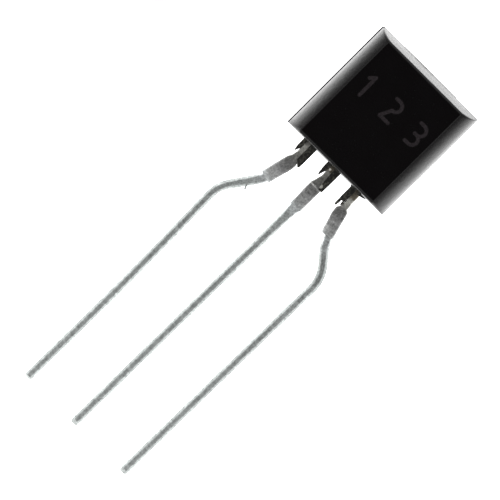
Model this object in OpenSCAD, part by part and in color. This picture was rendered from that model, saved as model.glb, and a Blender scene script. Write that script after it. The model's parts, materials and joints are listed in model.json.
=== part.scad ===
// Small-signal transistor in a moulded half-round case with three formed leads, in millimetres.
// Each piece is drawn upright: the case's lower end at Z = 0, the leads hanging down, the lead
// plane at Y = 0 and the flat face towards -Y. The whole is then laid down as it comes to rest:
// on the lower edge of its rounded back and on the three lead tips, with the flat face up.

/* [Case] */
// Width of the case across its rounded back
case_w = 4.8; // [4.4:0.05:5.2]
// Height of the case at the parting plane
case_h = 4.85; // [4.5:0.05:5.3]
// Width of the flat face, before its long edges are rounded
flat_w = 3.6; // [3.2:0.05:3.9]
// Rounding where the flat face meets the rounded sides
flat_edge_r = 0.1; // [0.05:0.01:0.2]
// Draft of both ends in front of the parting plane, in degrees
front_draft = 6; // [4:0.5:8]
// Draft of both ends behind the parting plane, in degrees
back_draft = 5; // [3:0.5:7]

/* [Mould marks] */
// Diameter of the round ejector mark on the back
ejector_d = 1.5; // [1.2:0.05:1.7]
// Depth of the ejector mark at its middle
ejector_depth = 0.15; // [0.13:0.01:0.3]
// Distance from the top end down to the middle of the ejector mark
ejector_drop = 1.9; // [1.4:0.1:3]
// Width of the broken moulding gate on the top end
gate_w = 2.6; // [1.5:0.1:3]
// Thickness of the broken gate, across the parting plane
gate_t = 0.3; // [0.2:0.05:0.6]
// Height that the broken gate stands up from the top end
gate_rise = 0.03; // [0.02:0.01:0.08]

/* [Flash at the lead exits] */
// How far the resin flash reaches beside a lead
flash_w = 0.12; // [0.08:0.01:0.18]
// Thickness of the resin film on a lead's front and back
flash_film = 0.03; // [0.02:0.01:0.06]
// How far the long slivers lap over a lead's face
flash_lap = 0.13; // [0.08:0.01:0.16]
// How far the short slivers lap over a lead's face
flash_short_lap = 0.03; // [0.02:0.01:0.06]
// Length of the long slivers
flash_long = 0.95; // [0.8:0.01:1]
// Length of the short slivers
flash_short = 0.58; // [0.4:0.01:0.7]

/* [Leads] */
// Thickness of the strip that the leads are stamped from
strip_t = 0.38; // [0.34:0.01:0.45]
// Width of the long thin leg of a lead, before it is tinned
lead_w = 0.34; // [0.3:0.01:0.38]
// Thickness of the tin on a leg, which doubles where the tin gathers in the bends
tin_t = 0.006; // [0.004:0.001:0.008]
// Rounding along the edges of a leg
lead_edge_r = 0.07; // [0.04:0.01:0.1]
// Reach of the leads below the case
lead_len = 13.6; // [10:0.1:14.5]
// Spacing of the leads where they leave the case
exit_pitch = 1.2; // [1.1:0.01:1.3]
// Width of a lead where it leaves the case
neck_w = 0.34; // [0.3:0.01:0.38]
// Distance from the case to the wide shoulder
shoulder_start = 0.92; // [0.85:0.01:1.1]
// Length over which a lead widens from its neck to its shoulder
flare_len = 0.12; // [0.08:0.01:0.2]
// Length of the wide shoulder, where the strip's tie bar was sheared off
shoulder_len = 1.12; // [0.9:0.01:1.2]
// Width of the shoulder
shoulder_w = 0.52; // [0.5:0.01:0.6]
// How far an outer lead's shoulder stands towards the middle lead
shoulder_offset = 0.05; // [0:0.01:0.05]
// Length over which the middle lead narrows below its shoulder
taper_len = 0.45; // [0.3:0.01:0.6]
// Width at the top of that taper
taper_w = 0.42; // [0.4:0.01:0.46]
// Height of the sheared step at the end of that taper
taper_step = 0.01; // [0.005:0.005:0.02]

/* [Lead forming] */
// Distance of the left leg from the middle lead
left_pitch = 2.5; // [2.3:0.01:2.7]
// Lean of the left lead's neck, in degrees
left_neck_lean = 0; // [0:1:12]
// Lean of the left lead's shoulder, in degrees
left_kink = 17; // [10:1:20]
// Slope of the left lead between its two bends, in degrees
left_angle = 33; // [30:1:38]
// Radius of the left lead's outward bend
left_out_r = 1.5; // [0.5:0.1:1.6]
// Radius of the left lead's return bend
left_back_r = 1.0; // [0.5:0.1:1.2]
// Distance of the right leg from the middle lead
right_pitch = 2.57; // [2.3:0.01:2.7]
// Lean of the right lead's neck, in degrees
right_neck_lean = 10; // [0:1:12]
// Lean of the right lead's shoulder, in degrees
right_kink = 12; // [10:1:20]
// Slope of the right lead between its two bends, in degrees
right_angle = 36; // [30:1:38]
// Radius of the right lead's outward bend
right_out_r = 0.5; // [0.5:0.1:1.6]
// Radius of the right lead's return bend
right_back_r = 0.8; // [0.5:0.1:1.2]
// Lean of all three legs towards the left, in degrees
leg_lean = 0.5; // [0.1:0.1:1.5]

/* [Leadframe inside the case] */
// Height of the chip pad
pad_h = 1.9; // [1.6:0.05:2]
// Resin above the chip pad
pad_cover = 0.9; // [0.7:0.05:1.1]
// How far the pad reaches out beyond the collector's stem
pad_ear = 0.2; // [0.1:0.05:0.4]
// Diameter of the hole that locks the pad in the resin
lock_hole_d = 0.4; // [0.3:0.05:0.5]
// Distance from the pad's outer corner to the middle of that hole, both ways
lock_hole_inset = 0.42; // [0.35:0.01:0.5]
// Width of the bonding posts
post_w = 0.7; // [0.5:0.05:0.8]
// Height of the bonding posts
post_h = 0.6; // [0.5:0.05:0.8]
// How far the emitter's post reaches up beside the pad
emitter_rise = 0.9; // [0.6:0.05:1.2]
// Gap between the pieces of the leadframe
frame_gap = 0.3; // [0.2:0.05:0.35]

/* [Chip and bond wires] */
// Side of the square silicon chip
die_w = 0.65; // [0.5:0.05:0.8]
// Thickness of the chip
die_t = 0.2; // [0.15:0.01:0.25]
// Thickness of the solder under the chip
attach_t = 0.02; // [0.01:0.01:0.04]
// How far the solder shows around the chip
attach_rim = 0.05; // [0.02:0.01:0.08]
// Distance of each bond from the chip's middle, both ways
bond_offset = 0.15; // [0.1:0.01:0.2]
// Diameter of the bond wires
wire_d = 0.05; // [0.03:0.01:0.06]
// Diameter of the ball that starts each wire on the chip
ball_d = 0.12; // [0.1:0.01:0.15]
// Height of that ball
ball_h = 0.03; // [0.02:0.01:0.05]
// Height of a wire's loop above the chip
loop_rise = 0.3; // [0.22:0.01:0.4]
// Radius of a wire's two bends
loop_r = 0.15; // [0.1:0.01:0.2]

/* [Hidden] */

$fn = 96;

RESIN = [0.05, 0.05, 0.055];
TIN = [0.70, 0.71, 0.70];
SILICON = [0.30, 0.31, 0.36];
SOLDER = [0.60, 0.60, 0.58];
GOLD = [0.86, 0.68, 0.28];

// Cutting shapes run past the surfaces that they cut
over = 1;
// A straight stretch of leg runs this far on into the fuller bend or shoulder at its end
lap = 0.04;
// The flash starts this far up inside the case, to be one with it
flash_root = 0.2;

// Case
case_r = case_w/2;
flat_y = sqrt(pow(case_r, 2) - pow(flat_w/2, 2));
back_step = case_r*tan(back_draft);

// Leads
leg_w = lead_w + 2*tin_t;
leg_t = strip_t + 2*tin_t;
neck_len = shoulder_start - flare_len;

// Leadframe inside: the flat parts are placed by their X and Z in the upright part
pad_top = case_h - pad_cover;
pad_bottom = pad_top - pad_h;
pad_left = -exit_pitch - neck_w/2 - pad_ear;
pad_right = exit_pitch - post_w/2 - frame_gap;
base_top = pad_bottom - frame_gap;
emitter_top = pad_bottom + emitter_rise;

// Chip and bonds
die_x = (pad_left + pad_right)/2;
die_z = (pad_top + pad_bottom)/2;
die_face = strip_t/2 + attach_t + die_t;
base_bond = [0, base_top - post_h/2];
emitter_bond = [exit_pitch, emitter_top - post_h/2];

// Rest: the line from the lower edge of the back to the lead tips becomes the ground line
rest_tilt = atan((case_r - leg_t/2)/(lead_len + back_step));
rest_lift = case_r*cos(rest_tilt) - back_step*sin(rest_tilt);
top_y = case_r*sin(rest_tilt) + (case_h - back_step)*cos(rest_tilt);
tip_y = -leg_t/2*sin(rest_tilt) - lead_len*cos(rest_tilt);

// Lays the upright part down and puts the middle of its outline over the origin
module at_rest() {
    translate([0, -(top_y + tip_y)/2, rest_lift])
        rotate([rest_tilt - 90, 0, 0])
            children();
}

// Turns a flat shape in X and Y up into the lead plane, with its thickness across that plane
module facing_front() {
    rotate([90, 0, 0]) children();
}

// ---- Case ----

// The half-round outline: a circle cut by the flat, with small round corners along the flat
module case_outline() {
    corner_y = flat_y - flat_edge_r;
    corner_x = sqrt(pow(case_r - flat_edge_r, 2) - pow(corner_y, 2));
    to_side = case_r/(case_r - flat_edge_r);
    difference() {
        circle(r = case_r);
        translate([-case_r - over, -case_r - over])
            square([case_w + 2*over, case_r + over - flat_y]);
        for (side = [-1, 1])
            polygon([
                [side*corner_x, -flat_y],
                [side*corner_x*to_side, -corner_y*to_side],
                [side*corner_x*to_side, -flat_y - over],
                [side*corner_x, -flat_y - over]
            ]);
    }
    for (side = [-1, 1])
        translate([side*corner_x, -corner_y]) circle(r = flat_edge_r);
}

// The side view: highest at the parting plane, with both ends drafted to the front and back
module case_side() {
    reach = case_r + over;
    front_rise = reach*tan(front_draft);
    back_rise = reach*tan(back_draft);
    polygon([
        [0, 0],
        [reach, back_rise],
        [reach, case_h - back_rise],
        [0, case_h],
        [-reach, case_h - front_rise],
        [-reach, front_rise]
    ]);
}

module case_blank() {
    intersection() {
        linear_extrude(height = case_h) case_outline();
        rotate([90, 0, 90])
            linear_extrude(height = case_w + 2*over, center = true)
                case_side();
    }
}

// A round mark with a flat floor, pressed into the rounded back by the mould's ejector pin
module ejector_mark() {
    translate([0, case_r - ejector_depth, case_h - ejector_drop])
        rotate([-90, 0, 0])
            cylinder(d = ejector_d, h = ejector_depth + over);
}

// The rest of the gate, broken off a little above the top end
module gate_stub() {
    translate([-gate_w/2, -gate_t/2, case_h - gate_t])
        cube([gate_w, gate_t, gate_t + gate_rise]);
}

// One sliver of flash that hangs from the case beside a lead and narrows to its tip.
// Each pair gives where it starts and ends across, from the lead's middle outwards.
module flash_sliver(root, tip, length) {
    facing_front()
        linear_extrude(height = strip_t + 2*flash_film, center = true)
            polygon([
                [root[0], flash_root],
                [root[1], flash_root],
                [tip[1], -length],
                [tip[0], -length]
            ]);
}

// The long sliver, on the +X side of a lead
module long_sliver() {
    edge = neck_w/2 + flash_w;
    flash_sliver([neck_w/2 - flash_lap, edge], [neck_w/2 + flash_w/4, edge - flash_w/4], flash_long);
}

// The short sliver, on the -X side of a lead
module short_sliver() {
    edge = neck_w/2 + flash_w;
    flash_sliver([-edge, flash_short_lap - neck_w/2], [-edge, -neck_w/2 - flash_w/2], flash_short);
}

// The third lead's flash is the other way round, with a forked long sliver
module forked_sliver() {
    edge = neck_w/2 + flash_w;
    fork_gap = flash_w/4;
    flash_sliver([-edge, flash_lap - neck_w/2], [-edge, -neck_w/2 - flash_w/2], flash_long);
    flash_sliver(
        [-neck_w/2 - flash_w/2, flash_lap - neck_w/2],
        [-neck_w/2 - flash_w/2 + fork_gap, -neck_w/2],
        flash_long - fork_gap
    );
}

module flash() {
    for (x = [-exit_pitch, 0])
        translate([x, 0, 0]) {
            long_sliver();
            short_sliver();
        }
    translate([exit_pitch, 0, 0]) forked_sliver();
}

// ---- Stamped outlines ----
// A lead's flat outline is drawn in X and Y with +Y along its way down from the case, as a list of
// stations. Each is [where, lean, half width towards -X, half width towards +X].

// The point this far on from another, along a line that leans from +Y towards +X
function onward(from, lean, length) = from + length*[sin(lean), cos(lean)];

function edge_point(station, half) =
    station[0] + half*[cos(station[1]), -sin(station[1])];

function even(where, lean, width) = [where, lean, width/2, width/2];

module strip_outline(stations) {
    last = len(stations) - 1;
    polygon(concat(
        [for (s = stations) edge_point(s, s[3])],
        [for (i = [last:-1:0]) edge_point(stations[i], -stations[i][2])]
    ));
}

// Gives a flat outline the thickness of the strip, half of it on each side of the lead plane
module stamped() {
    facing_front()
        linear_extrude(height = strip_t, center = true)
            children();
}

// ---- Sweeping along a path ----
// Each stretch starts at the origin and heads along +Z, and its children follow from its end.

// A tinned leg's section: a rectangle with rounded edges
module leg_section(tin) {
    width = lead_w + 2*tin;
    thickness = strip_t + 2*tin;
    square([width - 2*lead_edge_r, thickness], center = true);
    square([width, thickness - 2*lead_edge_r], center = true);
    for (x = [-1, 1], y = [-1, 1])
        translate([x*(width/2 - lead_edge_r), y*(thickness/2 - lead_edge_r)])
            circle(r = lead_edge_r);
}

module follow_run(length) {
    translate([0, 0, length]) children();
}

// The end of a bend towards +X, or towards -X where the angle is negative
module follow_bend(radius, angle) {
    translate([sign(angle)*radius*(1 - cos(angle)), 0, radius*sin(abs(angle))])
        rotate([0, angle, 0]) children();
}

// Sweeps the 2D child through a bend
module bend_round(radius, angle) {
    turn = sign(angle);
    translate([turn*radius, 0, 0])
        rotate([90, 0, 0])
            rotate([0, 0, turn > 0 ? 180 - angle : 0])
                rotate_extrude(angle = abs(angle))
                    translate([radius, 0]) children();
}

// A straight stretch of leg, which runs on into whatever is at its ends
module leg_run(length) {
    translate([0, 0, -lap])
        linear_extrude(height = length + 2*lap) leg_section(tin_t);
    follow_run(length) children();
}

// The last stretch of leg, cut off square at the tip
module leg_tip(length) {
    translate([0, 0, -lap])
        linear_extrude(height = length + lap) leg_section(tin_t);
}

module leg_bend(radius, angle) {
    bend_round(radius, angle) leg_section(2*tin_t);
    follow_bend(radius, angle) children();
}

// ---- Leads ----

// What a lead has inside the case: a stem under a wider bonding post, or a plain stem
function post_stations(top) = [
    even([0, -top], 0, post_w),
    even([0, post_h - top], 0, post_w),
    even([0, post_h - top], 0, neck_w)
];
function stem_station(top) = [even([0, -top], 0, neck_w)];

// Where an outer lead's shoulder starts and ends
function shoulder_top(neck_lean, kink) =
    onward(onward([0, 0], neck_lean, neck_len), kink, flare_len);
function shoulder_end(neck_lean, kink) =
    onward(shoulder_top(neck_lean, kink), kink, shoulder_len);

// The stamped part of an outer lead: its neck leans out and its shoulder leans out further
module outer_outline(inside, neck_lean, kink) {
    inner = shoulder_w/2 + shoulder_offset;
    outer = shoulder_w/2 - shoulder_offset;
    strip_outline(concat(inside, [
        even([0, 0], neck_lean/2, neck_w),
        even(onward([0, 0], neck_lean, neck_len), (neck_lean + kink)/2, neck_w),
        [shoulder_top(neck_lean, kink), kink, inner, outer],
        [shoulder_end(neck_lean, kink), kink, inner, outer]
    ]));
}

// The leg of an outer lead. It slopes on outwards from the shoulder until it is as far out as
// asked, then turns back and runs down with the given lean.
module outer_leg(from, kink, out_r, slope, back_r, reach, lean) {
    slant = (reach - from[0] - out_r*(cos(kink) - cos(slope))
        - back_r*(cos(lean) - cos(slope)) - lap*sin(kink))/sin(slope);
    drop = from[1] + out_r*(sin(slope) - sin(kink)) + slant*cos(slope)
        + back_r*(sin(slope) - sin(lean)) + lap*cos(kink);
    translate([from[0], 0, from[1]])
        rotate([0, kink, 0])
            leg_run(lap)
                leg_bend(out_r, slope - kink)
                    leg_run(slant)
                        leg_bend(back_r, lean - slope)
                            leg_tip((lead_len - drop)/cos(lean));
}

// The middle lead: straight, with a taper below its shoulder
module middle_outline(inside) {
    shoulder_bottom = shoulder_start + shoulder_len;
    strip_outline(concat(inside, [
        even([0, neck_len], 0, neck_w),
        even([0, shoulder_start], 0, shoulder_w),
        even([0, shoulder_bottom], 0, shoulder_w),
        even([0, shoulder_bottom], 0, taper_w),
        even([0, shoulder_bottom + taper_len], 0, leg_w + 2*taper_step)
    ]));
}

module middle_leg() {
    start = shoulder_start + shoulder_len + taper_len;
    translate([0, 0, start])
        rotate([0, -leg_lean, 0])
            leg_tip((lead_len - start)/cos(leg_lean));
}

// The pad under the chip, with the hole that the resin locks into
module pad_outline() {
    difference() {
        translate([pad_left, pad_bottom]) square([pad_right - pad_left, pad_h]);
        translate([pad_left + lock_hole_inset, pad_top - lock_hole_inset])
            circle(d = lock_hole_d);
    }
}

module collector_lead() {
    color(TIN) {
        stamped() {
            translate([-exit_pitch, 0])
                rotate(180)
                    outer_outline(stem_station(pad_bottom + neck_w), left_neck_lean, left_kink);
            pad_outline();
        }
        translate([-exit_pitch, 0, 0])
            rotate([0, 180, 0])
                outer_leg(shoulder_end(left_neck_lean, left_kink), left_kink, left_out_r,
                    left_angle, left_back_r, left_pitch - exit_pitch, leg_lean);
    }
}

module base_lead() {
    color(TIN)
        mirror([0, 0, 1]) {
            stamped() middle_outline(post_stations(base_top));
            middle_leg();
        }
}

module emitter_lead() {
    color(TIN)
        translate([exit_pitch, 0, 0])
            mirror([0, 0, 1]) {
                stamped() outer_outline(post_stations(emitter_top), right_neck_lean, right_kink);
                outer_leg(shoulder_end(right_neck_lean, right_kink), right_kink, right_out_r,
                    right_angle, right_back_r, right_pitch - exit_pitch, -leg_lean);
            }
}

// ---- Chip and bond wires, built up from the leadframe towards the flat face ----

module die_attach() {
    side = die_w + 2*attach_rim;
    color(SOLDER)
        facing_front()
            translate([die_x - side/2, die_z - side/2, strip_t/2])
                cube([side, side, attach_t]);
}

module die() {
    color(SILICON)
        facing_front()
            translate([die_x - die_w/2, die_z - die_w/2, strip_t/2 + attach_t])
                cube([die_w, die_w, die_t]);
}

module wire_run(length) {
    linear_extrude(height = length) circle(d = wire_d);
    follow_run(length) children();
}

module wire_turn() {
    bend_round(loop_r, 90) circle(d = wire_d);
    follow_bend(loop_r, 90) children();
}

// A wire from a ball on the chip, up, across and down to a bonding post
module bond_wire(from, to) {
    $fn = 32;
    way = to - from;
    facing_front()
        translate([from[0], from[1], die_face])
            rotate([0, 0, atan2(way[1], way[0])]) {
                cylinder(d = ball_d, h = ball_h);
                wire_run(loop_rise - loop_r)
                    wire_turn()
                        wire_run(norm(way) - 2*loop_r)
                            wire_turn()
                                wire_run(loop_rise - loop_r + die_t + attach_t);
            }
}

module base_wire() {
    color(GOLD) bond_wire([die_x + bond_offset, die_z - bond_offset], base_bond);
}

module emitter_wire() {
    color(GOLD) bond_wire([die_x + bond_offset, die_z + bond_offset], emitter_bond);
}

// Moulded round everything inside it, so its cavities are exactly those pieces
module case() {
    color(RESIN)
        difference() {
            union() {
                case_blank();
                gate_stub();
                flash();
            }
            ejector_mark();
            collector_lead();
            base_lead();
            emitter_lead();
            die_attach();
            die();
            base_wire();
            emitter_wire();
        }
}

at_rest() case();
at_rest() collector_lead();
at_rest() base_lead();
at_rest() emitter_lead();
at_rest() die();
at_rest() die_attach();
at_rest() base_wire();
at_rest() emitter_wire();
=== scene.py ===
import json
import math

import bmesh
import bpy
from mathutils import Matrix, Vector


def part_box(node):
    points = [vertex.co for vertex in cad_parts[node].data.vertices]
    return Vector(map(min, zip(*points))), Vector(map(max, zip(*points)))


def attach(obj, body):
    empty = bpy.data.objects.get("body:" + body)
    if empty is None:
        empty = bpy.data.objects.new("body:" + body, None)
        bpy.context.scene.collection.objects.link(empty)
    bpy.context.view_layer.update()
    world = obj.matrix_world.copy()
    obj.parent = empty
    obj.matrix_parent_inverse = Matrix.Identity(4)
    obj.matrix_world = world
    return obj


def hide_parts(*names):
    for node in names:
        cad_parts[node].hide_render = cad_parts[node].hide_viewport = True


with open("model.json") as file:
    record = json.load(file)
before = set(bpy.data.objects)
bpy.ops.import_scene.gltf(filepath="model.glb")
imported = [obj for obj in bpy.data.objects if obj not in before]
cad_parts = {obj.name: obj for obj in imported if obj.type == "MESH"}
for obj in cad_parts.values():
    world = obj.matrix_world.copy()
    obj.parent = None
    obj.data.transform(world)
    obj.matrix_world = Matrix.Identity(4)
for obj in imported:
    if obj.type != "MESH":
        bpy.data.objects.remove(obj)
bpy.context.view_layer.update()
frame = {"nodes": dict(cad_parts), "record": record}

# A small transistor that lies on its rounded back, with the flat face up and the tips of its
# three formed leads on the ground. Sizes are in millimetres and angles in degrees. Each piece is
# drawn upright, as the solids are: X across, Y towards the back, Z up from the case's lower end,
# with the lead plane at Y = 0. LAID then takes it, in metres, to where it lies.
MM = 0.001

# Which way a lead is formed outwards
LEFT, RIGHT = -1, 1

# Case. Both ends fall back from the parting plane at Y = 0, more steeply towards the flat, and the
# rounding of their edges grows away from that plane. The lower end sits lower on the left. The
# left side narrows slightly towards the top and has a small ledge, and its top corner is rounder.
CASE_W = (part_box("case")[1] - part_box("case")[0]).x/MM
CASE_R = CASE_W/2
CASE_H = 4.85
FLAT_W = 3.6
FLAT_EDGE_R = 0.06
TOP_FRONT_DRAFT = 7.1
LOWER_FRONT_DRAFT = 6.7
BACK_DRAFT = 5
TOP_EDGE_R = 0.115
LOWER_EDGE_R = 0.135
PARTING_EDGE_R = 0.03
LEDGE = 0.05
LEFT_DRAFT = 0.0026
LEFT_DROP = 0.025
LEFT_CORNER_R = 0.06
BACK_STEPS = 72
FRONT_STEPS = 12
EDGE_STEPS = 6
END_STEPS = 5
FLAT_Y = math.sqrt(CASE_R**2 - (FLAT_W/2)**2)

# Pin numbers: their height, where their top is, their stroke, and how far, as a share of that, its
# edges fade to each side
MARK_H = 0.83
MARK_TOP = 3.42
MARK_STROKE = 0.13
MARK_FADE = 0.15

# Mould marks
EJECTOR_D = 1.5
EJECTOR_DEPTH = 0.15
EJECTOR_DROP = 1.9
GATE_W = 2.6
GATE_T = 0.3
GATE_RISE = 0.016
FIN = 0.008
FIN_ROOT = 0.02
FIN_T = 0.02

# Leads, stamped from a strip. Below the case each has a neck, a flare, a shoulder and a leg. The
# outer two bend out to a slope and, with a radius of BACK_R, back again. EXIT_X is where the three
# of them leave the case, a little off their pitch.
STRIP_T = 0.38
LEAD_LEN = 13.6
EXIT_PITCH = 1.2
EXIT_X = (-1.25, -0.015, 1.17)
NECK_W = 0.34
SHOULDER_START = 0.92
FLARE_LEN = 0.12
NECK_LEN = SHOULDER_START - FLARE_LEN
NECK_FLARE_LEN = 0.3
SHOULDER_W = 0.52
SHOULDER_LEN = 1.12
SHOULDER_HEAD_LEN = 0.2
SHOULDER_END_LEN = 0.045
BACK_R = 1.4
BEND_TIN = 0.006
LEG_HEAD_LEN = 0.28
LEG_W = 0.352
LEG_T = 0.392
LEG_EDGE_R = 0.13
TIP_PINCH = 0.14

# The middle lead: the crease at its shoulder's head, the step at the shoulder's end, the taper
# below it, and how far down the leg reaches its full section
CREASE_DROP = 0.025
CREASE_LEN = 0.06
STEP_LEN = 0.04
TAPER_LEN = 0.4
TAPER_W = 0.43
TAPER_LEAN = -0.72
SETTLE_LEN = 1.2

# The slight bow of the left leg, and the whisker of tin at that lead's bend
BOW_DROP = 1.5
BOW_R = 175
BOW_LEAN = 1.0
BURR_AT = (-1.84, -2.64)
BURR_LEAN = -22
BURR_LEN = 0.23
BURR_RISE = 0.175

# Flash at the lead exits
FLASH_FILM = 0.03
FLASH_ROOT = 0.2
FLASH_EDGE_R = 0.02
# Which lead each sliver hangs beside, its two edges at the root and at the tip from the middle of
# the lead's exit, its length, how much of that narrows, and how much of it is the very point
SLIVERS = (
    (0, (0.06, 0.34), (0.23, 0.325), 0.93, 0.22, 0.04),
    (0, (-0.29, -0.125), (-0.255, -0.205), 0.57, 0.24, 0.05),
    (1, (0.06, 0.325), (0.12, 0.31), 0.97, 0.7, 0.02),
    (1, (-0.32, -0.12), (-0.28, -0.215), 0.57, 0.36, 0.04),
    (2, (-0.295, -0.05), (-0.29, -0.06), 0.64, 0.06, 0.03),
    (2, (-0.285, -0.175), (-0.28, -0.2), 0.93, 0.2, 0.05),
    (2, (-0.12, -0.06), (-0.115, -0.07), 0.8, 0.1, 0.05),
    (2, (0.05, 0.4), (0.05, 0.17), 0.1, 0.09, 0.02),
    (2, (-0.36, -0.1), (-0.33, -0.1), 0.06, 0.1, 0.04),
    (0, (-0.33, -0.1), (-0.31, -0.1), 0.05, 0.1, 0.03),
)
# How wide the torn end of a sliver's tip still is, as a share of the tip's width
TORN = 0.4
# Where the sliver beside the middle lead is pale at its torn tip
PALE_TIP = (0.12, -0.805)

# Leadframe inside the case: the chip's pad with its lock hole, and the bonding posts
PAD_H = 1.9
PAD_DROP = 0.9
PAD_OVERHANG = 0.2
PAD_TOP = CASE_H - PAD_DROP
PAD_BOTTOM = PAD_TOP - PAD_H
FRAME_GAP = 0.3
POST_W = 0.7
POST_H = 0.6
POST_RISE = 0.9
PAD_LEFT = -EXIT_PITCH - NECK_W/2 - PAD_OVERHANG
PAD_RIGHT = EXIT_PITCH - POST_W/2 - FRAME_GAP
LOCK_HOLE_D = 0.4
LOCK_HOLE_INSET = 0.42
BASE_TOP = PAD_BOTTOM - FRAME_GAP
EMITTER_TOP = PAD_BOTTOM + POST_RISE

# How far below the case a thin film of resin still covers each of these leads
BASE_FILM = 0.22
EMITTER_FILM = 0.36

# Tin: its shade at each distance below the case, and the patches that are lighter or darker than
# that, each with its X and Z, its radius and by how much
TIN_SHADES = (
    (0.0, (0.48, 0.475, 0.44)),
    (0.3, (0.45, 0.445, 0.41)),
    (0.65, (0.255, 0.255, 0.235)),
    (0.92, (0.205, 0.205, 0.20)),
    (1.15, (0.23, 0.23, 0.227)),
    (1.35, (0.34, 0.34, 0.34)),
    (1.75, (0.44, 0.445, 0.44)),
    (2.1, (0.63, 0.66, 0.66)),
    (2.6, (0.515, 0.545, 0.535)),
)
TIN_PATCHES = (
    ((1.16, -0.6), 0.34, 0.8),
    ((-0.085, -0.14), 0.06, 6),
    # The next two are painted highlights on the lower ends of the outer shoulders
    ((1.24, -1.78), 0.22, 0.5),
    ((-1.58, -1.78), 0.4, 0.25),
    ((2.34, -3.05), 0.7, -0.2),
    # Painted shade on the middle lead's neck just below the case
    ((-0.01, -0.45), 0.4, -0.25),
)
# A painted highlight along the crease across the middle lead, from its left end to its right
CREASE_HIGHLIGHT = ((-0.24, -0.96), (0.05, -0.935))

# Edges sharper than these angles are shaded as edges
CASE_SHARP = 50
FLASH_SHARP = 40
LEAD_SHARP = 38

# Points closer than this are one point
MERGE = 1e-5

# Stage: the camera looks straight down, turned so that the leads point to the lower left
CAMERA_AT = (-0.068, -0.004, 72)
CAMERA_TURN = 45
CAMERA_LENS = 139
FLOOR_REACH = 300
# How brightly the floor glows at each distance from the middle, so that it stays white all round
# the part, and how strong that is
FLOOR_GLOW = ((0, 1.0), (12.8, 0.95), (14.7, 0.62), (17, 0.22), (20, 0.02), (60, 0.0))
GLOW_STRENGTH = 1.9
# The dome's light from the horizon, 0, to straight above, 1
DOME = ((0.0, 0.2), (0.12, 0.4), (0.30, 1.0), (0.70, 1.0), (0.84, 0.07), (1.0, 0.05))
DOME_STRENGTH = 1.6
SOFT_BOXES = (("left_box", (-60, 10, 45)), ("right_box", (60, 0, 45)))
SOFT_BOX_W = 50
SOFT_BOX_POWER = 0.004


def laid():
    """The matrix that takes the upright part in millimetres to where it lies in metres."""
    flat = next(m for m in frame["record"]["mounts"] if m["name"] == "flat_face")
    front = Vector(flat["axis"]).normalized()
    across = Vector((1, 0, 0))
    up = across.cross(-front)
    origin = Vector(flat["pos_m"]) - MM*(FLAT_Y*front + CASE_H/2*up)
    turn = Matrix((across, -front, up)).transposed().to_4x4()
    return Matrix.Translation(origin) @ turn @ Matrix.Scale(MM, 4)


LAID = laid()


# ---- Sections of a lead ----
# How far it reaches from its path inwards and outwards (left and right on the middle lead), its
# thickness, the rounding of its edges, and how rough the shears left it, from 0 to 1.

SECTION = ("inner", "outer", "thick", "edge", "rough")
STEM = (NECK_W/2, NECK_W/2, STRIP_T, 0.02, 0)
POST = (POST_W/2, POST_W/2, STRIP_T, 0.02, 0)
NECK = (NECK_W/2, NECK_W/2, STRIP_T, 0.05, 0.3)
COLLECTOR_NECK = (NECK_W/2, 0.13, STRIP_T, 0.05, 0.6)
COLLECTOR_NECK_END = (0.14, 0.205, STRIP_T, 0.05, 0.9)
BASE_NECK = (0.12, NECK_W/2, STRIP_T + 0.01, 0.04, 0.6)
BASE_NECK_END = (0.195, NECK_W/2, STRIP_T + 0.025, 0.05, 0.9)
EMITTER_NECK = (0.065, NECK_W/2, STRIP_T, 0.04, 0.6)
EMITTER_NECK_END = (0.105, NECK_W/2 + 0.015, STRIP_T, 0.05, 0.9)
SHOULDER_HEAD = (SHOULDER_W/2 - 0.045, SHOULDER_W/2, STRIP_T, 0.055, 1)
SHOULDER = (SHOULDER_W/2 - 0.01, SHOULDER_W/2, STRIP_T, 0.055, 1)
EMITTER_SHOULDER_END = (0.1, SHOULDER_W/2, STRIP_T, 0.055, 1)
MIDDLE_SHOULDER = (SHOULDER_W/2 - 0.015, SHOULDER_W/2 - 0.01, STRIP_T, 0.055, 1)
MIDDLE_CREASE = (SHOULDER_W/2 - 0.01, SHOULDER_W/2 - 0.01, STRIP_T + 0.035, 0.055, 1)
TAPER = (TAPER_W/2, TAPER_W/2, STRIP_T, 0.06, 0.6)
LEG_HEAD = (LEG_W/2, LEG_W/2, LEG_T, 0.07, 0.3)
EMITTER_LEG_HEAD = (0.075, LEG_W/2 + 0.05, LEG_T, 0.06, 0.3)
LEG = (LEG_W/2, LEG_W/2, LEG_T, LEG_EDGE_R, 0)
BEND = (LEG_W/2 + BEND_TIN, LEG_W/2 + BEND_TIN, LEG_T + 2*BEND_TIN, 0.1, 0.2)
TIP = (LEG_W/2 - 0.03, LEG_W/2 - 0.03, LEG_T - 0.17, 0.1, 0.2)
BURR = (0.035, 0.035, 0.05, 0.006, 0)
BURR_TIP = (0.03, 0.03, 0.04, 0.006, 0)


def sine(degrees):
    return math.sin(math.radians(degrees))


def cosine(degrees):
    return math.cos(math.radians(degrees))


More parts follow.
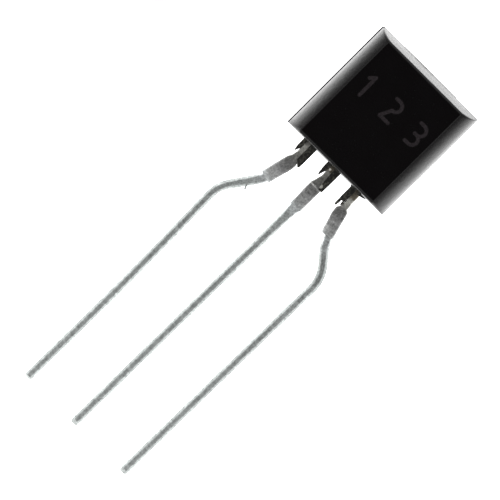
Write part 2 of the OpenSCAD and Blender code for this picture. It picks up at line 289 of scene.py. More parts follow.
class Route:
    """The path of a lead down the lead plane, with the section that it has at each point. Its
    lean is the angle from straight down towards its outward side. Film is how far below the case
    a thin film of resin still covers it."""

    STEP = 0.04
    ABRUPT = 0.003

    def __init__(self, x, z, side, section, film=0):
        self.side = side
        self.lean = 0
        self.film = film
        self.place = Vector((x, 0, z))
        self.points = [self.place.copy()]
        self.sections = [section]

    def outward(self, lean):
        return Vector((self.side*cosine(lean), 0, sine(lean)))

    def heading(self, lean):
        return Vector((self.side*sine(lean), 0, -cosine(lean)))

    def follow(self, places, section):
        """Goes through the places while the section changes evenly to a new one."""
        old = self.sections[-1]
        for i, place in enumerate(places, 1):
            share = i/len(places)
            self.points.append(place)
            self.sections.append(tuple(a + (b - a)*share for a, b in zip(old, section)))
        self.place = self.points[-1]

    def run(self, length, section=None):
        """Goes straight on, and keeps its section if no new one is given."""
        count = max(1, math.ceil(length/self.STEP))
        start = self.place
        way = length*self.heading(self.lean)
        places = [start + way*i/count for i in range(1, count + 1)]
        self.follow(places, section or self.sections[-1])

    def change(self, section):
        """A step from one section to another."""
        self.run(self.ABRUPT, section)

    def bend(self, radius, lean, section):
        """Turns to a new lean along an arc."""
        side = radius if lean > self.lean else -radius
        centre = self.place + side*self.outward(self.lean)
        turn = lean - self.lean
        count = max(2, math.ceil(math.radians(abs(turn))*radius/self.STEP))
        angles = [self.lean + turn*i/count for i in range(1, count + 1)]
        self.follow([centre - side*self.outward(angle) for angle in angles], section)
        self.lean = lean


def post_route(x, top, film):
    """A lead that starts with its bonding post inside the case, down to where it comes out."""
    route = Route(x, top, RIGHT, POST, film)
    route.run(POST_H)
    route.change(STEM)
    route.run(route.place.z, NECK)
    return route


def form_outer(
    route, neck, neck_end, neck_lean, flare_lean, shoulder_lean, shoulder_len, shoulder_end,
    leg_head, out_r, slope, pitch, leg_lean,
):
    """The visible part of an outer lead: its neck, flare and shoulder, the bend out to a slope,
    and the bend back to its leg, which starts at the given distance from the middle."""
    route.lean = neck_lean
    route.run(NECK_LEN - NECK_FLARE_LEN, neck)
    route.run(NECK_FLARE_LEN, neck_end)
    route.lean = flare_lean
    route.run(FLARE_LEN, SHOULDER_HEAD)
    route.lean = shoulder_lean
    route.run(SHOULDER_HEAD_LEN, SHOULDER)
    route.run(shoulder_len - SHOULDER_HEAD_LEN - SHOULDER_END_LEN)
    route.run(SHOULDER_END_LEN, shoulder_end)
    route.change(leg_head)
    route.run(route.STEP)
    route.bend(out_r, slope, leg_head)
    route.run(LEG_HEAD_LEN, BEND)
    reach = pitch - route.side*route.place.x
    route.run((reach - BACK_R*(cosine(leg_lean) - cosine(slope)))/sine(slope), LEG)
    route.bend(BACK_R, leg_lean, LEG)


def finish_leg(route, pinch=TIP_PINCH):
    """The straight leg down to its tip, which the cutter pinched over the given length."""
    left = (LEAD_LEN + route.place.z)/cosine(route.lean)
    route.run(left - pinch)
    route.run(pinch, TIP)


def collector_route():
    route = Route(EXIT_X[0], PAD_BOTTOM + NECK_W, LEFT, STEM)
    route.run(route.place.z, NECK)
    form_outer(
        route, neck=COLLECTOR_NECK, neck_end=COLLECTOR_NECK_END, neck_lean=-0.4, flare_lean=6,
        shoulder_lean=15, shoulder_len=SHOULDER_LEN, shoulder_end=SHOULDER, leg_head=LEG_HEAD,
        out_r=0.5, slope=35.6, pitch=2.532, leg_lean=-0.75,
    )
    route.run(BOW_DROP)
    route.bend(BOW_R, BOW_LEAN, LEG)
    finish_leg(route, pinch=0.1)
    return route


def emitter_route():
    route = post_route(EXIT_X[2], EMITTER_TOP, EMITTER_FILM)
    form_outer(
        route, neck=EMITTER_NECK, neck_end=EMITTER_NECK_END, neck_lean=3, flare_lean=12,
        shoulder_lean=16, shoulder_len=SHOULDER_LEN - 0.07, shoulder_end=EMITTER_SHOULDER_END,
        leg_head=EMITTER_LEG_HEAD, out_r=0.28, slope=39, pitch=2.512, leg_lean=-0.6,
    )
    finish_leg(route)
    return route


def base_route():
    route = post_route(EXIT_X[1], BASE_TOP, BASE_FILM)
    route.run(NECK_LEN - NECK_FLARE_LEN, BASE_NECK)
    route.run(NECK_FLARE_LEN, BASE_NECK_END)
    route.run(FLARE_LEN + CREASE_DROP, MIDDLE_CREASE)
    route.run(CREASE_LEN, MIDDLE_SHOULDER)
    route.run(SHOULDER_LEN - CREASE_DROP - CREASE_LEN - STEP_LEN)
    route.run(STEP_LEN, TAPER)
    route.lean = TAPER_LEAN
    route.run(TAPER_LEN, LEG_HEAD)
    route.run(SETTLE_LEN, LEG)
    finish_leg(route)
    return route


def burr_route():
    """The whisker of tin, on the upper edge of the left lead's bend."""
    route = Route(*BURR_AT, LEFT, BURR)
    route.lean = BURR_LEAN
    route.run(BURR_LEN, BURR_TIP)
    for point in route.points:
        point.y = -BURR_RISE
    return route


# ---- Node trees ----

class Value:
    """An output in a node tree. Arithmetic on it adds Math nodes."""

    def __init__(self, graph, socket):
        self.graph = graph
        self.socket = socket

    def maths(self, operation, *others):
        return self.graph.maths(operation, self, *others)

    def __add__(self, other):
        return self.maths("ADD", other)

    def __sub__(self, other):
        return self.maths("SUBTRACT", other)

    def __mul__(self, other):
        return self.maths("MULTIPLY", other)

    def __truediv__(self, other):
        return self.maths("DIVIDE", other)

    def __rsub__(self, other):
        return self.graph.maths("SUBTRACT", other, self)

    def __rtruediv__(self, other):
        return self.graph.maths("DIVIDE", other, self)

    def __gt__(self, other):
        return self.maths("GREATER_THAN", other)

    def __lt__(self, other):
        return self.maths("LESS_THAN", other)

    def __abs__(self):
        return self.maths("ABSOLUTE")

    __radd__ = __add__
    __rmul__ = __mul__

    def output(self, name):
        """Another output of the same node."""
        return Value(self.graph, self.socket.node.outputs[name])


class Graph:
    """A node tree, and the one method that adds nodes to it."""

    def __init__(self, tree):
        self.tree = tree

    def node(self, kind, settings=None, sockets=None, output=0):
        node = self.tree.nodes.new(kind)
        for name, setting in (settings or {}).items():
            if name == "stops":
                self.set_stops(node.color_ramp, setting)
            else:
                setattr(node, name, setting)
        for name, value in (sockets or {}).items():
            if isinstance(value, Value):
                self.tree.links.new(value.socket, node.inputs[name])
            else:
                node.inputs[name].default_value = value
        return Value(self, node.outputs[output]) if len(node.outputs) else node

    def set_stops(self, ramp, stops):
        """Gives a colour ramp its (place, colour) stops."""
        while len(ramp.elements) < len(stops):
            ramp.elements.new(1)
        for element, (place, shade) in zip(ramp.elements, stops):
            element.position = place
            element.color = (*shade, 1)

    def maths(self, operation, *values):
        return self.node("ShaderNodeMath", {"operation": operation}, dict(enumerate(values)))

    def link(self, value, target, socket):
        """Feeds a value into a socket of the node that another value comes from."""
        self.tree.links.new(value.socket, target.socket.node.inputs[socket])

    def vectors(self, operation, *values, output=0):
        return self.node(
            "ShaderNodeVectorMath", {"operation": operation}, dict(enumerate(values)), output)

    def store(self, geometry, name, kind, value):
        """Keeps a value on each point of the geometry under a name."""
        return self.node(
            "GeometryNodeStoreNamedAttribute", {"data_type": kind, "domain": "POINT"},
            {"Geometry": geometry, "Name": name, "Value": value},
        )

    def stored(self, name, kind="FLOAT"):
        return self.node("GeometryNodeInputNamedAttribute", {"data_type": kind}, {"Name": name})

    def mix(self, factor, first, second):
        """A colour between two others."""
        return self.node("ShaderNodeMix", {"data_type": "RGBA"}, {0: factor, 6: first, 7: second}, 2)

    def smooth(self, value, low, high):
        """0 where the value is under low, 1 where it is over high, and a soft step between."""
        return self.node(
            "ShaderNodeMapRange", {"interpolation_type": "SMOOTHSTEP"},
            {"Value": value, "From Min": low, "From Max": high},
        )


# ---- Materials ----

def rgb(red, green, blue):
    return (red, green, blue, 1)


def greys(stops):
    """A ramp's stops from (place, brightness) pairs, scaled so that the last place is 1."""
    whole = stops[-1][0]
    return [(place/whole, (shade, shade, shade)) for place, shade in stops]


class Finish(Graph):
    """A material with its Principled shader, drawn over the piece's own coordinates."""

    def __init__(self, name):
        self.material = bpy.data.materials.new(name)
        self.material.use_nodes = True
        super().__init__(self.material.node_tree)
        self.shader = self.tree.nodes["Principled BSDF"]
        self.place = self.node("ShaderNodeTexCoord").output("Object")

    def noise(self, size, detail=3, roughness=0.5, distortion=0):
        """Smooth noise from 0 to 1 whose blotches are about the given size in millimetres."""
        return self.node(
            "ShaderNodeTexNoise", None,
            {"Vector": self.place, "Scale": 1/(size*MM), "Detail": detail, "Roughness": roughness,
             "Distortion": distortion},
        )

    def specks(self, spacing, radius):
        """1 in small round specks, one in each cell of the given spacing in millimetres."""
        distance = self.node(
            "ShaderNodeTexVoronoi", None, {"Vector": self.place, "Scale": 1/(spacing*MM)},
        ).output("Distance")
        return 1 - self.smooth(distance, radius*0.6, radius)

    def attribute(self, name):
        """A number that the piece keeps on its points."""
        return self.node("ShaderNodeAttribute", {"attribute_name": name}, None, 2)

    def set(self, **values):
        """Sets the shader's sockets, with _ for each space in a name."""
        for name, value in values.items():
            socket = self.shader.inputs[name.replace("_", " ")]
            if isinstance(value, Value):
                self.tree.links.new(value.socket, socket)
            else:
                socket.default_value = value

    def relief(self, *layers):
        """Bumps from (height, how tall in millimetres) pairs."""
        total = None
        for height, tall in layers:
            layer = height*tall*MM
            total = layer if total is None else total + layer
        bump = self.node("ShaderNodeBump", None, {"Strength": 1, "Distance": 1, "Height": total})
        self.set(Normal=bump)


def upright(finish):
    """X, Y and Z in the upright part, in millimetres, from a piece's own coordinates."""
    rows = LAID.inverted()[:3]
    return [
        finish.vectors("DOT_PRODUCT", finish.place, tuple(row[:3]), output=1) + row[3]
        for row in rows
    ]


def spot(finish, x, z, centre, radius):
    """1 around the centre, fading to 0 at the radius."""
    off_x, off_z = x - centre[0], z - centre[1]
    return 1 - finish.smooth((off_x*off_x + off_z*off_z).maths("SQRT"), radius*0.4, radius)


def stroke(finish, x, z, start, end):
    """Distance from a straight stroke."""
    dx = end[0] - start[0]
    dz = end[1] - start[1]
    from_x = x - start[0]
    from_z = z - start[1]
    share = finish.node(
        "ShaderNodeClamp", None, {"Value": (from_x*dx + from_z*dz)/(dx*dx + dz*dz)})
    off_x = from_x - share*dx
    off_z = from_z - share*dz
    return (off_x*off_x + off_z*off_z).maths("SQRT")


def bow(finish, x, z, centre, radius):
    """Distance from a half ring that bulges towards +X."""
    off_x = x - centre[0]
    off_z = abs(z - centre[1])
    ring = abs((off_x*off_x + off_z*off_z).maths("SQRT") - radius)
    end_z = off_z - radius
    end = (off_x*off_x + end_z*end_z).maths("SQRT")
    inside = off_x > 0
    return ring*inside + end*(1 - inside)


def pin_numbers(finish, x, y, z):
    """1 where the plain numbers of the pins are marked on the flat, over their leads."""
    high, middle, low = MARK_TOP, MARK_TOP - MARK_H/2, MARK_TOP - MARK_H
    curl, serif = MARK_H/4, MARK_H/5
    one, two, three = -EXIT_PITCH, 0, EXIT_PITCH
    parts = [
        stroke(finish, x, z, (one, low), (one, high)),
        stroke(finish, x, z, (one, high), (one - serif, high - serif)),
        stroke(finish, x, z, (two - serif, high), (two, high)),
        bow(finish, x, z, (two, high - curl), curl),
        stroke(finish, x, z, (two, middle), (two - curl, low)),
        stroke(finish, x, z, (two - curl, low), (two + curl, low)),
        stroke(finish, x, z, (three - serif, high), (three, high)),
        stroke(finish, x, z, (three - serif/2, middle), (three, middle)),
        stroke(finish, x, z, (three - serif, low), (three, low)),
        bow(finish, x, z, (three, high - curl), curl),
        bow(finish, x, z, (three, low + curl), curl),
    ]
    distance = parts[0]
    for part in parts[1:]:
        distance = distance.maths("MINIMUM", part)
    inside, outside = MARK_STROKE*(0.5 - MARK_FADE), MARK_STROKE*(0.5 + MARK_FADE)
    return (1 - finish.smooth(distance, inside, outside))*(y < 0)


def resin():
    """Black moulding resin, fine-grained, with plain pin numbers marked faintly on the flat. It is
    duller at its lower end, but smooth round the lead exits."""
    finish = Finish("black_resin")
    grain = finish.noise(0.035, 4, 0.6)
    cloud = finish.noise(0.9, 3, 0.55)
    filler = finish.specks(0.11, 0.16)*(finish.noise(0.2, 1) > 0.56)
    x, y, z = upright(finish)
    mark = pin_numbers(finish, x, y, z)*(0.2 + 1.2*finish.noise(0.07, 3))
    end = 1 - finish.smooth(z, 0.1, 0.35)
    exits = sum(spot(finish, x, z, (exit_x, 0), 0.4) for exit_x in EXIT_X)
    shade = finish.mix(cloud, rgb(0.0020, 0.0015, 0.0017), rgb(0.0028, 0.0023, 0.0025))
    shade = finish.mix(filler*0.5, shade, rgb(0.012, 0.012, 0.013))
    shade = finish.mix(mark, shade, rgb(0.020, 0.016, 0.018))
    finish.set(
        Base_Color=shade,
        Roughness=0.16 + 0.06*grain + 0.05*cloud + 0.2*mark + 0.12*end - 0.24*exits,
        Specular_IOR_Level=0.18,
    )
    finish.relief((grain, 0.004), (finish.noise(0.25, 2), 0.006))
    return finish.material


def flash_resin():
    """Resin that ran out between the halves of the mould: thin, matt and broken at its edges, with
    one pale torn tip beside the middle lead."""
    finish = Finish("flash_resin")
    grain = finish.noise(0.05, 4, 0.6)
    patches = finish.smooth(finish.noise(0.1, 3, 0.6), 0.46, 0.64)
    shade = finish.mix(grain, rgb(0.0012, 0.0012, 0.0008), rgb(0.009, 0.0085, 0.006))
    shade = finish.mix(patches, shade, rgb(0.055, 0.054, 0.043))
    x, y, z = upright(finish)
    torn = spot(finish, x, z, PALE_TIP, 0.1)
    shade = finish.mix(torn, shade, rgb(0.34, 0.34, 0.31))
    finish.set(Base_Color=shade, Roughness=0.4 + 0.3*grain, Specular_IOR_Level=0.3)
    finish.relief((grain, 0.006))
    return finish.material


def tin():
    """Tin plating, dulled and mottled where the strip's tie bars were sheared off, under a film
    of resin at the exits. Its colour has painted shade just below the case and on the middle lead's
    neck, and painted highlights along the middle lead's crease and on the lower ends of the outer
    shoulders."""
    finish = Finish("tin_plating")
    rough, way, film = (finish.attribute(name) for name in ("rough", "way", "film"))
    blotch = finish.noise(0.16, 4, 0.62, distortion=0.4)
    grain = finish.noise(0.06, 4, 0.7)
    fine = finish.noise(0.03, 3, 0.6)
    down = way + 0.3*(finish.noise(0.3, 2) - 0.5)
    whole = TIN_SHADES[-1][0]
    stops = [(place/whole, colour) for place, colour in TIN_SHADES]
    shade = finish.node("ShaderNodeValToRGB", {"stops": stops}, {0: down/whole})
    bare = finish.smooth(way + 0.25*(blotch - 0.5), film - 0.05, film + 0.05)
    shade = finish.mix(bare, rgb(0.19, 0.17, 0.135), shade)

    x, y, z = upright(finish)
    # A painted highlight along the middle lead's crease, strongest at its left end
    crease_highlight = 1 - finish.smooth(stroke(finish, x, z, *CREASE_HIGHLIGHT), 0.012, 0.045)
    shadow = 1 - finish.smooth(way, -0.02, 0.15)
    tip = finish.smooth(way, LEAD_LEN - 0.2, LEAD_LEN - 0.08)
    lighter = sum(spot(finish, x, z, centre, radius)*by for centre, radius, by in TIN_PATCHES)
    lighter += 1.2*crease_highlight*(1 - finish.smooth(x, -0.16, 0.1)) - 0.6*shadow - 0.14*tip
    streak = (blotch - 0.5)*1.2 + (grain - 0.5)*2.0
    shade = finish.vectors("SCALE", shade)
    finish.link((1 + streak)*(1 + lighter), shade, "Scale")
    finish.set(Base_Color=shade, Metallic=1.0, Roughness=0.36 + 0.1*blotch + 0.08*rough)
    finish.relief((fine, 0.0012), (grain*(0.2 + rough), 0.004), (blotch*(0.3 + rough), 0.003))
    return finish.material


def plain_metal(name, colour, dark, roughness):
    """A small metal piece inside the case."""
    finish = Finish(name)
    cloud = finish.noise(0.08, 3)
    finish.set(
        Base_Color=finish.mix(cloud, dark, colour),
        Metallic=1.0,
        Roughness=roughness + 0.1*cloud,
    )
    finish.relief((finish.noise(0.02, 2), 0.0006))
    return finish.material


def finish_inside():
    """The chip, its solder and its bond wires keep their solids and get their finishes."""
    silicon = plain_metal("silicon_chip", rgb(0.18, 0.19, 0.22), rgb(0.10, 0.11, 0.14), 0.15)
    solder = plain_metal("chip_solder", rgb(0.62, 0.62, 0.60), rgb(0.45, 0.45, 0.44), 0.35)
    gold = plain_metal("gold_bond_wire", rgb(1.0, 0.72, 0.28), rgb(0.85, 0.56, 0.18), 0.2)
    for name, material in (
        ("die", silicon), ("die_attach", solder), ("base_wire", gold), ("emitter_wire", gold),
    ):
        for slot in frame["nodes"][name].material_slots:
            slot.material = material


# ---- Leads ----

def sweep_tree():
    """Sweeps a rounded bar down a path, as wide and thick as the path's points say, and makes it
    lumpy where the shears left it rough. Outward is the side that the path's outer width is on."""
    tree = bpy.data.node_groups.new("lead_sweep", "GeometryNodeTree")
    for name, kind in (
        ("Path", "Geometry"), ("Outward", "Float"), ("Points a side", "Int"),
        ("Lump height", "Float"), ("Lump size", "Float"), ("Seed", "Float"), ("Finish", "Material"),
    ):
        tree.interface.new_socket(name, in_out="INPUT", socket_type="NodeSocket" + kind)
    tree.interface.new_socket("Lead", in_out="OUTPUT", socket_type="NodeSocketGeometry")
    graph = Graph(tree)
    given = graph.node("NodeGroupInput")

    curve = graph.node("GeometryNodeMeshToCurve", None, {"Mesh": given.output("Path")})
    place = graph.node("GeometryNodeInputPosition")
    curve = graph.store(curve, "middle", "FLOAT_VECTOR", place)
    curve = graph.store(curve, "heading", "FLOAT_VECTOR", graph.node("GeometryNodeInputTangent"))
    loop = graph.node(
        "GeometryNodeCurvePrimitiveQuadrilateral", None, {"Width": 2.0, "Height": 2.0})
    loop = graph.node(
        "GeometryNodeResampleCurve", None, {"Curve": loop, "Count": given.output("Points a side")*4})
    corner = graph.node("ShaderNodeSeparateXYZ", None, {0: place})
    loop = graph.store(loop, "across", "FLOAT", (corner*(math.pi/2)).maths("SINE"))
    loop = graph.store(loop, "through", "FLOAT", (corner.output("Y")*(math.pi/2)).maths("SINE"))
    mesh = graph.node(
        "GeometryNodeCurveToMesh", None, {"Curve": curve, "Profile Curve": loop, "Fill Caps": True})

    across, through = graph.stored("across"), graph.stored("through")
    inner, edge = graph.stored("inner"), graph.stored("edge")
    reach = inner + (graph.stored("outer") - inner)*(across > 0)
    half = graph.stored("thick")/2
    x, limit_x = across*reach, reach - edge
    y, limit_y = through*half, half - edge
    core_x = x.maths("MINIMUM", limit_x).maths("MAXIMUM", limit_x*-1)
    core_y = y.maths("MINIMUM", limit_y).maths("MAXIMUM", limit_y*-1)
    off_x, off_y = x - core_x, y - core_y
    share = edge/(off_x*off_x + off_y*off_y).maths("SQRT").maths("MAXIMUM", 1e-6)
    sideways = graph.vectors("CROSS_PRODUCT", graph.stored("heading", "FLOAT_VECTOR"), (0, 1, 0))
    sideways = graph.vectors("SCALE", sideways)
    graph.link((core_x + off_x*share)*given.output("Outward"), sideways, "Scale")
    forward = graph.node("ShaderNodeCombineXYZ", None, {"Y": (core_y + off_y*share)*-1})
    moved = graph.vectors("ADD", graph.stored("middle", "FLOAT_VECTOR"), sideways)
    moved = graph.vectors("ADD", moved, forward)
    mesh = graph.node("GeometryNodeSetPosition", None, {"Geometry": mesh, "Position": moved})

    lumps = graph.node(
        "ShaderNodeTexNoise", {"noise_dimensions": "4D"},
        {"Vector": place, "W": given.output("Seed"), "Scale": 1/given.output("Lump size"),
         "Detail": 3.0},
    )
    uneven = 0.25 + graph.stored("rough")
    height = (lumps - 0.5)*given.output("Lump height")*uneven
    lump = graph.vectors("SCALE", graph.node("GeometryNodeInputNormal"))
    graph.link(height, lump, "Scale")
    mesh = graph.node("GeometryNodeSetPosition", None, {"Geometry": mesh, "Offset": lump})
    mesh = graph.node("GeometryNodeSetShadeSmooth", None, {"Geometry": mesh})
    mesh = graph.node("GeometryNodeRealizeInstances", None, {"Geometry": mesh})
    mesh = graph.node(
        "GeometryNodeSetMaterial", None, {"Geometry": mesh, "Material": given.output("Finish")})
    graph.node("NodeGroupOutput", None, {0: mesh})
    return tree


def path_mesh(name, routes):
    """The routes as lines, with each point's section and its way down from the case."""
    mesh = bpy.data.meshes.new(name)
    points, edges, sections, films = [], [], [], []
    for route in routes:
        first = len(points)
        points += route.points
        sections += route.sections
        films += [route.film]*len(route.points)
        edges += [(i, i + 1) for i in range(first, len(points) - 1)]
    mesh.from_pydata(points, edges, [])
    columns = dict(zip(SECTION, zip(*sections)))
    columns["way"] = [-point.z for point in points]
    columns["film"] = films
    for attribute, values in columns.items():
        mesh.attributes.new(attribute, "FLOAT", "POINT").data.foreach_set("value", values)
    return mesh


def sweep(name, routes, settings):
    """A mesh in the upright part, swept along the routes."""
    line = bpy.data.objects.new(name, path_mesh(name, routes))
    bpy.context.scene.collection.objects.link(line)
    modifier = line.modifiers.new("sweep", "NODES")
    modifier.node_group = SWEEP
    for item in SWEEP.interface.items_tree:
        if item.name in settings:
            modifier[item.identifier] = settings[item.name]
    graph = bpy.context.evaluated_depsgraph_get()
    mesh = bpy.data.meshes.new_from_object(
        line.evaluated_get(graph), preserve_all_data_layers=True, depsgraph=graph)
    bpy.data.objects.remove(line)
    return mesh


def joined(meshes):
    """One mesh of several, with outward faces."""
    bm = bmesh.new()
    for mesh in meshes:
        bm.from_mesh(mesh)
    bmesh.ops.remove_doubles(bm, verts=bm.verts, dist=MERGE)
    bmesh.ops.recalc_face_normals(bm, faces=bm.faces)
    bm.to_mesh(meshes[0])
    bm.free()
    return meshes[0]


def make_lead(name, node, routes, side, seed, extra=()):
    """A lead swept along its routes, joined with any extra meshes."""
    mesh = sweep(name, routes, {
        "Outward": float(side), "Points a side": 14, "Lump height": 0.04, "Lump size": 0.1,
        "Seed": seed, "Finish": TIN,
    })
    mesh = joined([mesh, *extra])
    mesh.set_sharp_from_angle(angle=math.radians(LEAD_SHARP))
    mesh.transform(LAID)
    mesh.name = name
    add_piece(name, mesh, node)


def make_leads():
    collector = [collector_route(), burr_route()]
    make_lead(
        "formed_collector_lead", "collector_lead", collector, LEFT, seed=3.0, extra=[pad()])
    make_lead("formed_base_lead", "base_lead", [base_route()], RIGHT, seed=11.0)
    make_lead("formed_emitter_lead", "emitter_lead", [emitter_route()], RIGHT, seed=23.0)


def plate(outlines, thick, edge):
    """A flat piece in the lead plane: its outline and any holes in X and Z, and its thickness."""
    data = bpy.data.curves.new("plate", "CURVE")
    data.dimensions = "2D"
    data.fill_mode = "BOTH"
    data.extrude = thick/2 - edge
    data.bevel_depth = edge
    data.bevel_resolution = 2
    data.offset = -edge
    for points in outlines:
        spline = data.splines.new("POLY")
        spline.points.add(len(points) - 1)
        for point, (x, z) in zip(spline.points, points):
            point.co = (x, z, 0, 1)
        spline.use_cyclic_u = True
    drawn = bpy.data.objects.new("plate", data)
    mesh = bpy.data.meshes.new_from_object(drawn)
    bpy.data.objects.remove(drawn)
    mesh.transform(Matrix.Rotation(math.pi/2, 4, "X"))
    return mesh


def circle(x, z, diameter, count):
    return [tuple(point) for point, out in arc((x, z), diameter/2, 0, 360, count)[:-1]]


def pad():
    """The chip's pad, with the hole that the resin locks into."""
    sides = [
        (PAD_LEFT, PAD_BOTTOM), (PAD_RIGHT, PAD_BOTTOM), (PAD_RIGHT, PAD_TOP), (PAD_LEFT, PAD_TOP),
    ]
    hole = circle(PAD_LEFT + LOCK_HOLE_INSET, PAD_TOP - LOCK_HOLE_INSET, LOCK_HOLE_D, 32)
    return plate([sides, hole], STRIP_T, 0.01)


# ---- Marks that the mould leaves ----

def sliver(x, root, tip, length, taper, point):
    """Flash that hangs beside a lead and narrows near its torn tip."""
    middle = sum(tip)/2

    def section(edges, share, rough):
        inner, outer = middle - edges[0], edges[1] - middle
        thick = (STRIP_T + 2*FLASH_FILM)*share
        edge = min(FLASH_EDGE_R, 0.4*inner, 0.4*outer)
        return (inner, outer, thick, edge, rough)

    torn = [middle + TORN*(edge - middle) for edge in tip]
    route = Route(x + middle, FLASH_ROOT, RIGHT, section(root, 1, 0.4))
    route.run(FLASH_ROOT + length - taper, section(root, 1, 0.6))
    route.run(taper - point, section(tip, 0.95, 1))
    route.run(point, section(torn, 0.5, 1))
    return route


def gate_route():
    """The scar along the top end where the gate was broken off, highest nearer its left."""
    deep = GATE_T/2

    def section(rise, thick):
        return (deep, deep + GATE_RISE*rise, GATE_T*thick, GATE_T*0.45, 1)

    route = Route(-GATE_W/2, CASE_H - deep, RIGHT, section(0.2, 0.9))
    route.lean = 90
    route.run(GATE_W*0.3, section(0.5, 1))
    route.run(GATE_W*0.7, section(0.3, 0.9))
    return route


def fin_route():
    """The thin fin that the halves of the mould leave down the right side of the case. It stops
    short of the rounding of both ends."""
    route = Route(CASE_R, CASE_H - LOWER_EDGE_R, RIGHT, (FIN_ROOT, FIN, FIN_T, 0.006, 0.4))
    route.run(CASE_H - 2*LOWER_EDGE_R)
    return route


def moulding(name, routes, lump_height, seed):
    """A piece of resin swept along routes."""
    mesh = joined([sweep(name, routes, {
        "Outward": float(RIGHT), "Points a side": 8, "Lump height": lump_height, "Lump size": 0.06,
        "Seed": seed, "Finish": FLASH,
    })])
    mesh.set_sharp_from_angle(angle=math.radians(FLASH_SHARP))
    mesh.transform(LAID)
    mesh.name = name
    add_piece(name, mesh, "case")


def make_mould_marks():
    slivers = [sliver(EXIT_X[lead], *sizes) for lead, *sizes in SLIVERS]
    moulding("flash_at_leads", slivers, lump_height=0.026, seed=5.0)
    moulding("gate_scar", [gate_route()], lump_height=0.014, seed=8.0)
    moulding("parting_fin", [fin_route()], lump_height=0.006, seed=17.0)


def ejector_cutter():
    """The ejector pin, to cut its round dent from the back."""
    pin_len = 1
    place = (0, CASE_R - EJECTOR_DEPTH + pin_len/2, CASE_H - EJECTOR_DROP)
    bm = bmesh.new()
    bmesh.ops.create_cone(
        bm, cap_ends=True, segments=64, radius1=EJECTOR_D/2, radius2=EJECTOR_D/2, depth=pin_len,
        matrix=Matrix.Translation(place) @ Matrix.Rotation(math.pi/2, 4, "X"),
    )
    mesh = bpy.data.meshes.new("ejector_pin")
    bm.to_mesh(mesh)
    bm.free()
    return mesh


# ---- Meshes ----

def add_piece(name, mesh, node):
    """Puts a piece in the scene in place of a node."""
    piece = bpy.data.objects.new(name, mesh)
    bpy.context.scene.collection.objects.link(piece)
    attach(piece, "root")
    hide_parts(node)
    return piece


def arc(centre, radius, start, end, count):
    """Points along an arc, with the outward direction at each."""
    found = []
    for i in range(count + 1):
        angle = math.radians(start + (end - start)*i/count)
        out = Vector((math.cos(angle), math.sin(angle)))
        found.append((Vector(centre) + radius*out, out))
    return found


def case_outline():
    """The half-round outline in two stretches, with the outward direction at each point: the back,
    from right to left, and the front with the flat, from left to right. At the left the mould's
    front half stops a little short of the back half, which leaves a rounded ledge there. So the
    back's arc ends a little before the parting plane, where the ledge's own rounding takes over."""
    corner_y = FLAT_Y - FLAT_EDGE_R
    corner_x = math.sqrt((CASE_R - FLAT_EDGE_R)**2 - corner_y**2)
    turn = math.degrees(math.atan2(corner_y, corner_x))
    back = arc((0, 0), CASE_R, 0, 178, BACK_STEPS)
    rim = arc((LEDGE - CASE_R, LEDGE), LEDGE, 190, 270, EDGE_STEPS)
    back += [(point, Vector((-1, 0))) for point, out in rim]
    inner = CASE_R - LEDGE - FLAT_EDGE_R
    shift = ((CASE_R - FLAT_EDGE_R)**2 - inner**2)/(2*(inner - corner_x))
    left_turn = math.degrees(math.atan2(corner_y, corner_x + shift))
    front = arc((shift, 0), CASE_R - LEDGE + shift, 180, 180 + left_turn, FRONT_STEPS)[1:]
    front += arc((-corner_x, -corner_y), FLAT_EDGE_R, 180 + left_turn, 270, EDGE_STEPS)[1:]
    front += arc((corner_x, -corner_y), FLAT_EDGE_R, -90, -turn, EDGE_STEPS)
    front += arc((0, 0), CASE_R, -turn, 0, FRONT_STEPS)[1:-1]
    return back, front


def end_slope(y, top):
    """How far an end has fallen back from its height at the parting plane."""
    front = TOP_FRONT_DRAFT if top else LOWER_FRONT_DRAFT
    return abs(y)*math.tan(math.radians(front if y < 0 else BACK_DRAFT))


def case_skin():
    """The case's skin: a wall round the outline, with rounded and drafted ends."""
    back, front = case_outline()
    outline = back + front
    turns = [90*i/END_STEPS for i in range(END_STEPS + 1)]
    profile = [(sine(turn), cosine(turn)) for turn in turns]
    bm = bmesh.new()

    def ring(rise, reach, top):
        """Points round the outline on the rounded edge of an end, from the wall, at rise 0 and
        reach 1, to the end's face, at rise 1 and reach 0."""
        made = []
        for point, out in outline:
            end_r = TOP_EDGE_R if top else LOWER_EDGE_R
            edge = PARTING_EDGE_R + (end_r - PARTING_EDGE_R)*min(1, abs(point.y)/FLAT_Y)**3
            edge += LEFT_CORNER_R*max(0, -point.x/CASE_R)**12 if top else 0
            x, y = point - edge*(1 - reach)*out
            gap = end_slope(y, top) + edge*(1 - rise)
            z = CASE_H - gap if top else gap - LEFT_DROP*(1 - x/CASE_R)/2
            made.append(bm.verts.new((x*(1 - LEFT_DRAFT*z) if x < 0 else x, y, z)))
        return made

    low = [ring(rise, reach, False) for rise, reach in reversed(profile)]
    high = [ring(rise, reach, True) for rise, reach in profile]
    rings = low + high
    count = len(outline)
    for below, above in zip(rings, rings[1:]):
        for i in range(count):
            j = (i + 1) % count
            bm.faces.new((below[i], below[j], above[j], above[i]))
    for cap in (rings[0], rings[-1]):
        bm.faces.new(cap[:len(back)])
        bm.faces.new(cap[len(back) - 1:] + cap[:1])
    bmesh.ops.recalc_face_normals(bm, faces=bm.faces)
    mesh = bpy.data.meshes.new("case")
    bm.to_mesh(mesh)
    bm.free()
    return mesh


def cut(mesh, cutter):
    """What is left of a mesh when the cutter is taken out of it."""
    block, tool = (bpy.data.objects.new(part.name, part) for part in (mesh, cutter))
    for part in (block, tool):
        bpy.context.scene.collection.objects.link(part)
    dent = block.modifiers.new("cut", "BOOLEAN")
    dent.operation = "DIFFERENCE"
    dent.solver = "EXACT"
    dent.object = tool
    graph = bpy.context.evaluated_depsgraph_get()
    left = bpy.data.meshes.new_from_object(block.evaluated_get(graph))
    for part in (block, tool):
        bpy.data.objects.remove(part)
    return left


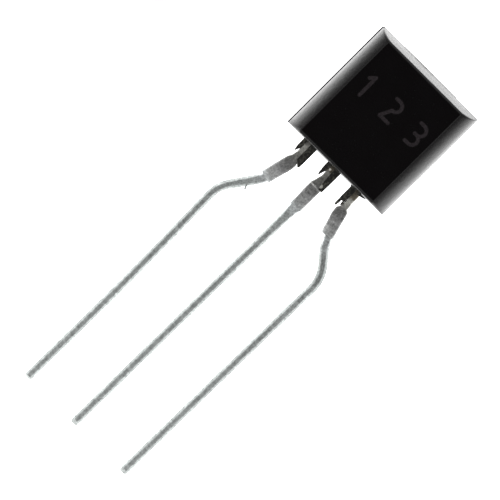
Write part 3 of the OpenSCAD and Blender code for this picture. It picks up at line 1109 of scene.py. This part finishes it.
def make_case():
    mesh = cut(case_skin(), ejector_cutter())
    mesh.transform(LAID)
    mesh.name = "moulded_case"
    mesh.materials.clear()
    mesh.materials.append(RESIN)
    mesh.shade_smooth()
    mesh.set_sharp_from_angle(angle=math.radians(CASE_SHARP))
    piece = add_piece("moulded_case", mesh, "case")
    normals = piece.modifiers.new("normals", "WEIGHTED_NORMAL")
    normals.keep_sharp = True


# ---- Stage ----

def make_camera():
    data = bpy.data.cameras.new("camera")
    data.lens = CAMERA_LENS
    data.clip_start = MM
    data.clip_end = 1
    camera = bpy.data.objects.new("camera", data)
    camera.location = Vector(CAMERA_AT)*MM
    camera.rotation_euler = (0, 0, math.radians(CAMERA_TURN))
    bpy.context.scene.collection.objects.link(camera)
    bpy.context.scene.camera = camera


def make_floor():
    """A pale floor that glows round the part, which the sides of the case mirror. The glow is dimmer
    right under the case, where it is a painted shadow, and beyond its top end and towards the right.
    Its colour is paler round the part than further out, a painted pool of light."""
    size = FLOOR_REACH*MM
    corners = [(-size, -size, 0), (size, -size, 0), (size, size, 0), (-size, size, 0)]
    mesh = bpy.data.meshes.new("floor")
    mesh.from_pydata(corners, [], [(0, 1, 2, 3)])
    finish = Finish("floor")
    place = finish.node("ShaderNodeSeparateXYZ", None, {0: finish.place})
    x, y = place/MM, place.output("Y")/MM
    far = abs(y)
    left = (x*-1 - 4.2).maths("MAXIMUM", 0)
    # Round the leads the glow ends in a blunt point. Beside the case its edges run nearly parallel
    # to the case, nearer to it on the left.
    reach = abs(x - 0.8) + far + finish.smooth(y, 2, 4.6)*(4.5 - 0.7*far + 0.32*left)
    whole = FLOOR_GLOW[-1][0]
    glow = finish.node("ShaderNodeValToRGB", {"stops": greys(FLOOR_GLOW)}, {0: reach/whole})
    # A painted shadow: the glow is a fifth dimmer round and under the case
    under = 1 - finish.smooth(abs(x), 3.0, 3.4)
    under = under*(1 - finish.smooth(abs(y - 6.8), 2.4, 2.7))
    level = (1.04 - 0.016*x - 0.5*finish.smooth(y, 9, 12.5))*(1 - 0.2*under)
    glow = finish.vectors("SCALE", glow)
    finish.link(level, glow, "Scale")
    # The floor's colour is paler round the part than further out, a painted pool of light
    near, away = rgb(0.6, 0.6, 0.595), rgb(0.4, 0.4, 0.4)
    finish.set(
        Base_Color=finish.mix(finish.smooth(reach, 13, 21), near, away),
        Roughness=0.9,
        Specular_IOR_Level=0.0,
        Emission_Color=glow,
        Emission_Strength=GLOW_STRENGTH,
    )
    mesh.materials.append(finish.material)
    floor = bpy.data.objects.new("floor", mesh)
    bpy.context.scene.collection.objects.link(floor)


def make_light():
    """A dome of soft light, brightest half way up and dark overhead, and two soft boxes."""
    world = bpy.data.worlds.new("studio")
    world.use_nodes = True
    bpy.context.scene.world = world
    graph = Graph(world.node_tree)
    direction = graph.node("ShaderNodeTexCoord").output("Generated")
    height = graph.node("ShaderNodeSeparateXYZ", None, {0: direction}).output("Z")
    dome = graph.node("ShaderNodeValToRGB", {"stops": greys(DOME)}, {0: height})
    background = world.node_tree.nodes["Background"]
    world.node_tree.links.new(dome.socket, background.inputs["Color"])
    background.inputs["Strength"].default_value = DOME_STRENGTH
    for name, place in SOFT_BOXES:
        data = bpy.data.lights.new(name, "AREA")
        data.shape = "RECTANGLE"
        data.size = SOFT_BOX_W*MM
        data.size_y = SOFT_BOX_W*MM
        data.energy = SOFT_BOX_POWER
        light = bpy.data.objects.new(name, data)
        light.location = Vector(place)*MM
        light.rotation_euler = (-Vector(place)).to_track_quat("-Z", "Y").to_euler()
        light.visible_camera = False
        bpy.context.scene.collection.objects.link(light)


make_camera()
make_floor()
make_light()
bpy.context.scene.view_settings.view_transform = "Standard"

RESIN = resin()
FLASH = flash_resin()
TIN = tin()
SWEEP = sweep_tree()
make_case()
make_mould_marks()
make_leads()
finish_inside()
